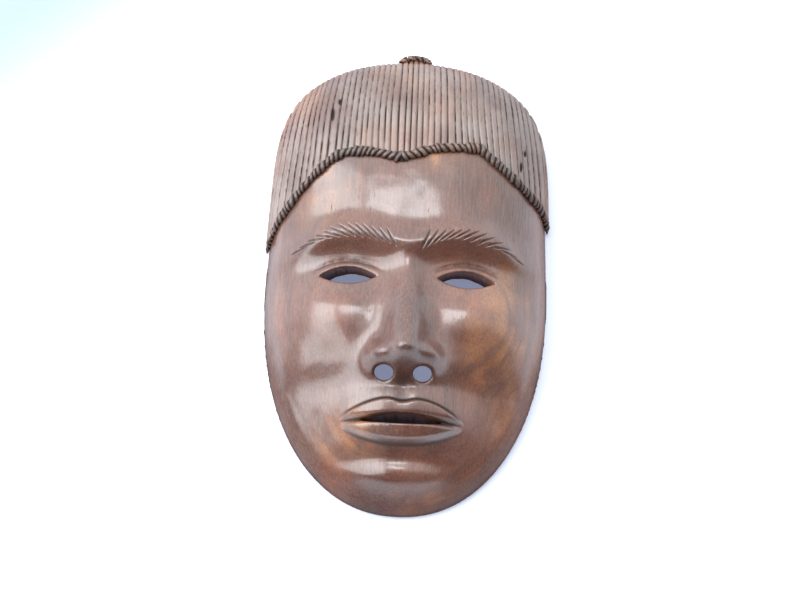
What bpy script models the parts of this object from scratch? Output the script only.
"""A hand-carved wooden wall mask, with a metal ring hanger let into its back.

The mask lies on its back: +Z points out of the face, +Y towards the crown, and +X to the
right of someone looking at the face. The origin is the centre of the plane that it lies on.
Sizes are in millimetres, and MM turns them into Blender's metres where a shape is placed.
"""

import math

import bmesh
import bpy
import numpy as np
from mathutils import Matrix, Vector

MM = 0.001

# The block that the mask is carved from.
LENGTH = 290.0  # from the chin to the tip of the lug on the crown
WIDTH = 172.0  # across the cheekbones
DOME = 50.0  # the plain dome's height over the back plane
EDGE = 12.0  # the plain dome's height along the outline, up to the temples
CROWN_EDGE = 14.0  # and at the crown
CHIN_END = -LENGTH / 2
LUG_END = LENGTH / 2
CROWN_END = LUG_END - 5.5
CHEEK_LEVEL = -12.0  # where the mask is widest
JAW_ROUNDNESS = (2.15, 2.15)  # the outline's powers across and along
CROWN_ROUNDNESS = (2.1, 6.0)
TEMPLE_NARROWING = 1.2
DOME_FULLNESS = (3.2, 4.2)  # the power of the dome's fall, over the face and over the crown

# The face, on a drawing book's proportions: five eyes wide, the eyes near its middle and one
# eye's width apart, and the mouth a third of the way from the nose to the chin.
EYE_WIDTH = WIDTH / 5
EYE_X = EYE_WIDTH
EYE_LINE = -13.0
BROW_LINE = 5.0
NOSE_BASE = -75.0
NOSE_HEIGHT = 25.0
MOUTH_LINE = NOSE_BASE + (CHIN_END - NOSE_BASE) / 3
CHIN_FOLD = NOSE_BASE + (CHIN_END - NOSE_BASE) * 0.62

# The openings, which all go through to the hollow at the back.
EYE_SLOT = (16.5, 5.6)
MOUTH_SLOT = (25.0, 3.6)
NOSTRIL_X = 11.5
NOSTRIL_RADIUS = 6.0
NOSTRIL_TILT = math.radians(14.0)

# The hair, a cap of carved strands that stands proud of the face.
HAIR_STEP = 5.0
HAIRLINE = 64.0
HAIRLINE_TILT = 0.085
HAIRLINE_CORNER = 41.0
TEMPLE_DROP = (36.0, 30.5)  # the hair comes down lower on the left temple
STRANDS = 42
STRAND_PITCH = 4.1
STRAND_DEPTH = 1.3
LUG_WIDTH = 20.0
LUG_DEPTH = (6.0, 20.0)

# The hollow at the back, and the walls that it leaves.
RIM = 13.0
WALL = 12.0
HOLLOW_EDGE = 5.0
HOLLOW_CROWN_END = 76.0

# The hanger: a strap screwed into a pocket in the thick crown, with a ring hinged on it.
POCKET_Y = (84.0, 130.0)
POCKET_WIDTH = 30.0
POCKET_DEPTH = 6.0
GAP = 0.3
STRAP_WIDTH = 10.0
STRAP_GAUGE = 0.9
STRAP_END_Y = 87.0
RING_WIRE = 1.1
RING_REACH = 9.5
RING_DROOP = math.radians(9.5)  # how far the ring hangs down, with the mask on its back
KNUCKLE_BORE = RING_WIRE + GAP
KNUCKLE_RADIUS = KNUCKLE_BORE + STRAP_GAUGE
HINGE_Y = 111.0
HINGE_Z = POCKET_DEPTH - GAP - KNUCKLE_RADIUS
SCREW_Y = (91.5, 101.0)
SCREW_SHANK = 1.2
SCREW_HEAD = 2.8
SCREW_LENGTH = 11.0

WOOD = (0.19, 0.075, 0.045, 1.0)
BRASS = (0.55, 0.40, 0.18, 1.0)
STEEL = (0.45, 0.44, 0.42, 1.0)


def smooth_step(value, start, end):
    """0 before start, 1 after end, and an even curve between them."""
    share = np.clip((value - start) / (end - start), 0.0, 1.0)
    return share * share * (3.0 - 2.0 * share)


def to_side(x):
    """The distance from the middle line, rounded off so that it has no crease there."""
    return np.hypot(x, 3.0) - 0.5


def merge(first, second, blend):
    """The higher of two heights, with a fillet between them."""
    return (first + second + np.hypot(first - second, blend)) / 2 - blend / 2


def bump(side, y, centre, reach, power=1.0):
    """A round swelling of height 1 at centre."""
    spread = ((side - centre[0]) / reach[0]) ** 2 + ((y - centre[1]) / reach[1]) ** 2
    return np.exp(-(spread**power))


def half_width(y):
    """Half the width of the egg that the outline follows, before its ends round off."""
    return WIDTH / 2 - TEMPLE_NARROWING * smooth_step(y, CHEEK_LEVEL, 60.0)


def outline_term(y):
    """How far y is on its way to an end of the mask, from 0 to 1, raised to the outline's power
    along it, and the outline's power across it."""
    up = y > CHEEK_LEVEL
    reach = np.where(up, CROWN_END - CHEEK_LEVEL, CHEEK_LEVEL - CHIN_END)
    along = np.where(up, CROWN_ROUNDNESS[1], JAW_ROUNDNESS[1])
    return (np.abs(y - CHEEK_LEVEL) / reach) ** along, np.where(up, CROWN_ROUNDNESS[0], JAW_ROUNDNESS[0])


def outline_x(y):
    """How far the outline lies from the middle line, at y."""
    term, across = outline_term(y)
    return half_width(y) * (1.0 - np.clip(term, 0.0, 1.0)) ** (1.0 / across)


def outline_share(x, y):
    """0 at the widest level's middle and 1 on the outline, growing between them."""
    term, across = outline_term(y)
    return ((np.abs(x) / half_width(y)) ** across + term) ** (1.0 / across)


def dome(x, y):
    """The plain dome, nearly flat in the middle and steeper towards the outline."""
    edge = EDGE + (CROWN_EDGE - EDGE) * smooth_step(y, 20.0, CROWN_END)
    power = DOME_FULLNESS[0] + (DOME_FULLNESS[1] - DOME_FULLNESS[0]) * smooth_step(y, 20.0, 90.0)
    return edge + (DOME - edge) * (1.0 - np.clip(outline_share(x, y), 0.0, 1.0) ** power)


def hairline(x):
    """Where the hair's edge lies: a shallow dip, two corners, then down to the temples."""
    level = HAIRLINE + HAIRLINE_TILT * x - 5.5 * np.exp(-(((x + 6.0) / 14.0) ** 2))
    reach = np.clip((np.abs(x) - HAIRLINE_CORNER) / (WIDTH / 2 - 4.0 - HAIRLINE_CORNER), 0.0, 1.2)
    return level - np.where(x < 0, TEMPLE_DROP[0] * reach**1.35, TEMPLE_DROP[1] * reach**0.85)


def brows(side, y):
    arch = BROW_LINE + 6.0 * np.exp(-(((side - 34.0) / 20.0) ** 2)) - 5.0 * smooth_step(side, 50.0, 76.0)
    return 5.5 * np.exp(-(((y - arch) / 8.0) ** 2)) * (1.0 - 0.8 * smooth_step(side, 46.0, 74.0))


def eyes(side, y):
    """A deep socket under each brow, with a long lidded swelling in it."""
    socket = 10.0 * bump(side, y, (EYE_X - 2.0, EYE_LINE + 1.0), (25.0, 13.0), 1.4)
    lids = 7.0 * bump(side, y, (EYE_X, EYE_LINE - 1.0), (20.5, 9.5), 1.5)
    return lids - socket


def nose(side, y):
    """A broad, straight nose, from its root between the eyes to its rounded tip."""
    down = np.clip((BROW_LINE - y) / (BROW_LINE - NOSE_BASE), 0.0, 1.0)
    rise = 3.0 + (NOSE_HEIGHT - 3.0) * smooth_step(down, -0.1, 0.92)
    under = 1.0 - smooth_step(-y, -NOSE_BASE - 12.0, -NOSE_BASE + 3.5)
    bridge = rise * smooth_step(-y, -BROW_LINE - 5.0, -BROW_LINE + 12.0)
    ridge = bridge * np.exp(-((side / (8.5 + 7.5 * down**1.6)) ** 2.4))
    wings = 15.0 * bump(side, y, (15.0, NOSE_BASE + 8.5), (8.0, 9.0), 1.5)
    return under * merge(ridge, wings, 3.0)


def lips(side, y):
    """Two full lips that meet on a level line, with a bow over the upper one."""
    reach = np.clip(1.0 - (side / 36.0) ** 2, 0.0, 1.0)
    top = MOUTH_LINE + 12.0 * reach**0.8 - 2.5 * np.exp(-((side / 6.0) ** 2))
    upper = smooth_step(top + 1.2 - y, 0.0, 3.6) * smooth_step(y, MOUTH_LINE - 1.0, MOUTH_LINE + 3.0)
    bottom = MOUTH_LINE - 12.5 * reach**0.75
    lower = smooth_step(y - bottom + 1.0, 0.0, 4.6) * smooth_step(MOUTH_LINE + 0.5 - y, 0.0, 3.5)
    return 4.6 * upper * reach**0.35 + 5.0 * lower * reach**0.5


def features(x, y):
    """What the face adds to the dome."""
    side = to_side(x)
    forehead = 4.0 * bump(side, y, (0.0, 42.0), (56.0, 30.0))
    cheeks = 5.5 * bump(side, y, (46.0, -38.0), (24.0, 19.0))
    below_cheeks = -3.5 * bump(side, y, (47.0, -80.0), (20.0, 24.0))
    muzzle = 8.0 * bump(side, y, (0.0, MOUTH_LINE), (34.0, 21.0), 1.5)
    chin = 9.0 * bump(side, y, (0.0, -129.0), (26.0, 13.0), 1.3)
    fold = -4.0 * bump(side, y, (0.0, CHIN_FOLD), (22.0, 5.5))
    groove = -1.6 * bump(side, y, (0.0, NOSE_BASE - 7.0), (5.0, 8.0))
    plain = forehead + cheeks + below_cheeks + muzzle + chin + fold + groove
    return plain + brows(side, y) + eyes(side, y) + nose(side, y) + lips(side, y)


def relief(x, y):
    """The height of the carved front over the back plane, with the strands left out."""
    hair = smooth_step(y - hairline(x), -1.0, 1.0)
    edge = smooth_step(1.0 - outline_share(x, y), 0.0, 0.12)
    return dome(x, y) + features(x, y) * (1.0 - hair) * edge + HAIR_STEP * hair


def hollow(x, y):
    """The height of the hollow's roof: the dome moved in by the wall, deeper behind the nose."""
    share = outline_share(x * WIDTH / (WIDTH - 2 * RIM), (y + 12.0) * 1.12 - 12.0)
    roof = HOLLOW_EDGE + (DOME - WALL - HOLLOW_EDGE) * (1.0 - np.clip(share, 0.0, 1.0) ** 2.6)
    return roof + 17.0 * bump(np.abs(x), y, (0.0, NOSE_BASE + 17.0), (19.0, 18.0))


def new_object(name, mesh, colour=None, metallic=0.0, roughness=0.5):
    obj = bpy.data.objects.new(name, mesh)
    bpy.context.scene.collection.objects.link(obj)
    if colour:
        material = bpy.data.materials.new(name)
        material.use_nodes = True
        shader = material.node_tree.nodes["Principled BSDF"]
        shader.inputs["Base Color"].default_value = colour
        shader.inputs["Metallic"].default_value = metallic
        shader.inputs["Roughness"].default_value = roughness
        mesh.materials.append(material)
    return obj


def helper(name, mesh):
    """A cutter or a piece to join on, which is gone once it has been used."""
    obj = new_object(name, mesh)
    obj.hide_render = True
    obj.display_type = "WIRE"
    return obj


def combine(target, other, operation):
    """Cut the other shape from the target, join it on, or keep only what they share."""
    modifier = target.modifiers.new(other.name, "BOOLEAN")
    modifier.operation = operation
    modifier.object = other
    mesh = bpy.data.meshes.new_from_object(target.evaluated_get(bpy.context.evaluated_depsgraph_get()))
    mesh.name = target.name
    target.modifiers.clear()
    target.data = mesh
    bpy.data.objects.remove(other)


def mesh_of(name, bm):
    bmesh.ops.recalc_face_normals(bm, faces=bm.faces)
    mesh = bpy.data.meshes.new(name)
    bm.to_mesh(mesh)
    bm.free()
    return mesh


def height_block(name, x, y, z, floor):
    """A closed block whose top is the grid of points x, y, z and whose underside is flat."""
    rows, columns = z.shape
    bm = bmesh.new()
    top = [[bm.verts.new((x[i, j] * MM, y[i, j] * MM, z[i, j] * MM)) for j in range(columns)]
           for i in range(rows)]
    for i in range(rows - 1):
        for j in range(columns - 1):
            bm.faces.new((top[i][j], top[i][j + 1], top[i + 1][j + 1], top[i + 1][j]))
    edge = top[0][:] + [row[-1] for row in top[1:]] + top[-1][-2::-1]
    edge += [row[0] for row in top[-2:0:-1]]
    foot = [bm.verts.new((v.co.x, v.co.y, floor * MM)) for v in edge]
    for k, vertex in enumerate(edge):
        after = (k + 1) % len(edge)
        bm.faces.new((edge[after], vertex, foot[k], foot[after]))
    bm.faces.new(foot)
    return mesh_of(name, bm)


def prism(name, points, low, high):
    """A straight prism from low to high, over a closed outline of (x, y) points."""
    bm = bmesh.new()
    base = bm.faces.new([bm.verts.new((x * MM, y * MM, low * MM)) for x, y in points])
    raised = bmesh.ops.extrude_face_region(bm, geom=[base])["geom"]
    moved = [v for v in raised if isinstance(v, bmesh.types.BMVert)]
    bmesh.ops.translate(bm, verts=moved, vec=Vector((0, 0, (high - low) * MM)))
    return mesh_of(name, bm)


def cylinder(name, radius, start, end, segments=20):
    """A cylinder of that radius, from one point to another."""
    start, end = Vector(start) * MM, Vector(end) * MM
    turn = (end - start).to_track_quat("Z", "Y").to_matrix().to_4x4()
    bm = bmesh.new()
    bmesh.ops.create_cone(bm, cap_ends=True, segments=segments, radius1=radius * MM,
                          radius2=radius * MM, depth=(end - start).length,
                          matrix=Matrix.Translation((start + end) / 2) @ turn)
    return mesh_of(name, bm)


def crown_drop(x):
    """How far below the crown's end the outline lies, on each side of the middle."""
    side = np.minimum(np.abs(x) / (WIDTH / 2 - TEMPLE_NARROWING), 0.975) ** CROWN_ROUNDNESS[0]
    return (CROWN_END - CHEEK_LEVEL) * (1.0 - (1.0 - side) ** (1.0 / CROWN_ROUNDNESS[1]))


def relief_grid():
    """Grid points over the front. One row in the grid runs along the hairline, the last rows
    follow the crown's outline, and over the hair every other column is the bottom of a cut
    between two strands."""
    columns = np.arange(-STRANDS - 1, STRANDS + 2) * STRAND_PITCH / 2
    bands = [np.array([CHIN_END - 2.0, CHIN_END, CHIN_END + 1.5, CHIN_END + 3.5, CHIN_END + 6.5]),
             np.linspace(CHIN_END + 10.5, NOSE_BASE - 3.5, 15),
             np.linspace(NOSE_BASE, EYE_LINE - 20.0, 11),
             np.linspace(EYE_LINE - 15.0, BROW_LINE + 19.0, 12),
             np.linspace(BROW_LINE + 27.0, HAIRLINE - 8.0, 4),
             np.array([HAIRLINE - 1.0, HAIRLINE + 1.0]),
             np.linspace(HAIRLINE + 10.0, CROWN_END - 19.0, 4),
             CROWN_END - np.array([13.0, 8.5, 5.0, 2.5, 1.0, 0.0, -2.0])]
    x, level = np.meshgrid(columns, np.concatenate(bands))
    crown = np.clip((level - HAIRLINE) / (CROWN_END - 10.0 - HAIRLINE), 0.0, 1.0)
    follow = smooth_step(level, -40.0, HAIRLINE) * (1.0 - crown)
    y = level + (hairline(x) - HAIRLINE) * follow - crown_drop(x) * crown
    z = relief(x, y)
    cut = (np.arange(len(columns)) % 2 == 1)[np.newaxis, :]
    return x, y, np.where((level > HAIRLINE) & cut, z - STRAND_DEPTH, z)


def outline_points(count=46, margin=0.0, crown_end=CROWN_END):
    """The outline's points, anticlockwise and closer together at the two ends. A margin
    leaves a rim outside it, and the crown can end lower."""
    turn = np.linspace(-math.pi / 2, math.pi / 2, count)
    level = np.where(turn > 0, (CROWN_END - CHEEK_LEVEL) * np.sin(turn),
                     (CHEEK_LEVEL - CHIN_END) * np.sin(turn))
    x = outline_x(CHEEK_LEVEL + level) * (1.0 - 2 * margin / WIDTH)
    y = CHEEK_LEVEL + np.where(turn > 0, level * (crown_end - CHEEK_LEVEL) / (CROWN_END - CHEEK_LEVEL),
                               level * (1.0 - margin / (CHEEK_LEVEL - CHIN_END)))
    right = list(zip(x.tolist(), y.tolist()))
    return right + [(-x, y) for x, y in reversed(right[1:-1])]


def almond(centre, half_length, half_height, count=10):
    """The pointed outline of an eye or a mouth, as two arcs that meet in its corners."""
    across = np.cos(np.linspace(0.0, math.pi, count))
    upper = [(centre[0] + half_length * c, centre[1] + half_height * (1 - c * c)) for c in across]
    lower = [(x, 2 * centre[1] - y) for x, y in upper[-2:0:-1]]
    return upper + lower


def lug_points(count=9):
    """A shallow arch that stands out from the middle of the crown."""
    arch = [(LUG_WIDTH / 2 * math.cos(a), CROWN_END - 2.0 + (LUG_END - CROWN_END + 2.0) * math.sin(a))
            for a in np.linspace(0.0, math.pi, count)]
    return [(LUG_WIDTH / 2, CROWN_END - 14.0)] + arch + [(-LUG_WIDTH / 2, CROWN_END - 14.0)]


def rectangle(x_low, x_high, y_low, y_high):
    return [(x_low, y_low), (x_high, y_low), (x_high, y_high), (x_low, y_high)]


def make_hollow():
    """The space to cut from the back: an oval well with a domed roof."""
    x, y = np.meshgrid(np.linspace(-WIDTH / 2, WIDTH / 2, 25), np.linspace(CHIN_END, CROWN_END, 33))
    roof = height_block("hollow_roof", x, y, hollow(x, y), -12.0)
    well = outline_points(36, RIM, HOLLOW_CROWN_END)
    cutter = helper("back_hollow", prism("back_hollow", well, -8.0, 80.0))
    combine(cutter, helper("hollow_roof", roof), "INTERSECT")
    return cutter


def carve_mask():
    """The mask, cut from one block: its outline, its hollow, and every opening."""
    mask = new_object("mask_carving", height_block("mask_carving", *relief_grid(), -6.0), WOOD)
    combine(mask, helper("outline", prism("outline", outline_points(), 0.0, 120.0)), "INTERSECT")
    combine(mask, helper("lug", prism("lug", lug_points(), *LUG_DEPTH)), "UNION")
    combine(mask, make_hollow(), "DIFFERENCE")

    for side, label in ((-1, "left"), (1, "right")):
        eye = prism("eye_" + label, almond((side * EYE_X, EYE_LINE - 1.0), *EYE_SLOT), 10.0, 90.0)
        combine(mask, helper("eye_slot_" + label, eye), "DIFFERENCE")
        middle = Vector((side * NOSTRIL_X, NOSE_BASE + 1.0, 56.0))
        along = Vector((0.0, -math.sin(NOSTRIL_TILT), math.cos(NOSTRIL_TILT)))
        bore = cylinder("nostril_" + label, NOSTRIL_RADIUS, middle - along * 32, middle + along * 32, 16)
        combine(mask, helper("nostril_bore_" + label, bore), "DIFFERENCE")
    mouth = prism("mouth", almond((0.0, MOUTH_LINE), *MOUTH_SLOT), 10.0, 90.0)
    combine(mask, helper("mouth_slot", mouth), "DIFFERENCE")

    pocket = prism("pocket", rectangle(-POCKET_WIDTH / 2, POCKET_WIDTH / 2, *POCKET_Y), -4.0, POCKET_DEPTH)
    combine(mask, helper("hanger_pocket", pocket), "DIFFERENCE")
    for number, y in enumerate(SCREW_Y):
        pilot = cylinder(f"pilot_{number}", SCREW_SHANK + GAP, (0, y, 2.0),
                         (0, y, POCKET_DEPTH + SCREW_LENGTH), 12)
        combine(mask, helper(f"pilot_hole_{number}", pilot), "DIFFERENCE")
    return mask


def make_strap():
    """A flat strap with its crown end rolled into a knuckle round the ring's bar."""
    top = POCKET_DEPTH - GAP
    angles = np.linspace(math.pi / 2, -math.pi * 1.28, 25)
    outer = [(HINGE_Y + KNUCKLE_RADIUS * math.cos(a), HINGE_Z + KNUCKLE_RADIUS * math.sin(a))
             for a in angles]
    inner = [(HINGE_Y + KNUCKLE_BORE * math.cos(a), HINGE_Z + KNUCKLE_BORE * math.sin(a))
             for a in angles]
    profile = [(STRAP_END_Y, top)] + outer + inner[::-1] + [(STRAP_END_Y, top - STRAP_GAUGE)]
    bm = bmesh.new()
    face = bm.faces.new([bm.verts.new((-STRAP_WIDTH / 2 * MM, y * MM, z * MM)) for y, z in profile])
    raised = bmesh.ops.extrude_face_region(bm, geom=[face])["geom"]
    moved = [v for v in raised if isinstance(v, bmesh.types.BMVert)]
    bmesh.ops.translate(bm, verts=moved, vec=Vector((STRAP_WIDTH * MM, 0, 0)))
    strap = new_object("hanger_strap", mesh_of("hanger_strap", bm), BRASS, 1.0, 0.35)
    for number, y in enumerate(SCREW_Y):
        hole = cylinder(f"hole_{number}", SCREW_SHANK + GAP, (0, y, 0.0), (0, y, 9.0), 16)
        combine(strap, helper(f"strap_hole_{number}", hole), "DIFFERENCE")
    return strap


def ring_points(corner=2.5, count=18):
    """The D that the ring's wire follows: a straight bar on the hinge, then a round bow."""
    bar = RING_REACH - corner
    right = [(bar + corner * math.sin(a), corner * (1 - math.cos(a)))
             for a in np.linspace(0.0, math.pi / 2, 5)]
    bow = [(RING_REACH * math.cos(a), corner + 1.5 + RING_REACH * math.sin(a))
           for a in np.linspace(0.0, math.pi, count)]
    return right + bow + [(-x, y) for x, y in reversed(right)]


def make_ring():
    """The ring's wire, drawn flat from its hinge and then let down by its droop."""
    curve = bpy.data.curves.new("hanger_ring", "CURVE")
    curve.dimensions = "3D"
    curve.bevel_depth = RING_WIRE * MM
    curve.bevel_resolution = 3
    points = ring_points()
    spline = curve.splines.new("POLY")
    spline.points.add(len(points) - 1)
    for point, (x, y) in zip(spline.points, points):
        point.co = (x * MM, y * MM, 0.0, 1.0)
    spline.use_cyclic_u = True
    ring = new_object("hanger_ring", curve, STEEL, 1.0, 0.3)
    ring.location = (0.0, HINGE_Y * MM, HINGE_Z * MM)
    ring.rotation_euler = (-RING_DROOP, 0.0, 0.0)
    return ring


def make_screw(name, y):
    """A slotted pan-head wood screw, turned about its axis and driven up into the crown."""
    seat = POCKET_DEPTH - GAP - STRAP_GAUGE - GAP
    head = [(0.0, -1.7), (1.5, -1.6), (2.4, -1.1), (SCREW_HEAD, -0.4), (SCREW_HEAD, 0.0)]
    shank = [(SCREW_SHANK, 0.0), (SCREW_SHANK, SCREW_LENGTH - 2.5), (0.0, SCREW_LENGTH)]
    bm = bmesh.new()
    verts = [bm.verts.new((r * MM, 0.0, h * MM)) for r, h in head + shank]
    edges = [bm.edges.new(pair) for pair in zip(verts, verts[1:])]
    bmesh.ops.spin(bm, geom=verts + edges, axis=(0, 0, 1), cent=(0, 0, 0), steps=20,
                   angle=2 * math.pi)
    bmesh.ops.remove_doubles(bm, verts=bm.verts, dist=0.01 * MM)
    screw = new_object(name, mesh_of(name, bm), STEEL, 1.0, 0.4)
    screw.location = (0.0, y * MM, seat * MM)
    slot = prism(name + "_slot", rectangle(-4.0, 4.0, y - 0.4, y + 0.4), seat - 3.0, seat - 0.9)
    combine(screw, helper(name + "_slot", slot), "DIFFERENCE")
    return screw


def main():
    for obj in list(bpy.data.objects):
        bpy.data.objects.remove(obj)
    carve_mask()
    make_strap()
    make_ring()
    make_screw("hanger_screw_lower", SCREW_Y[0])
    make_screw("hanger_screw_upper", SCREW_Y[1])
    for obj in bpy.data.objects:
        if obj.type == "MESH":
            obj.data.shade_smooth()
            obj.data.set_sharp_from_angle(angle=math.radians(40.0))


main()
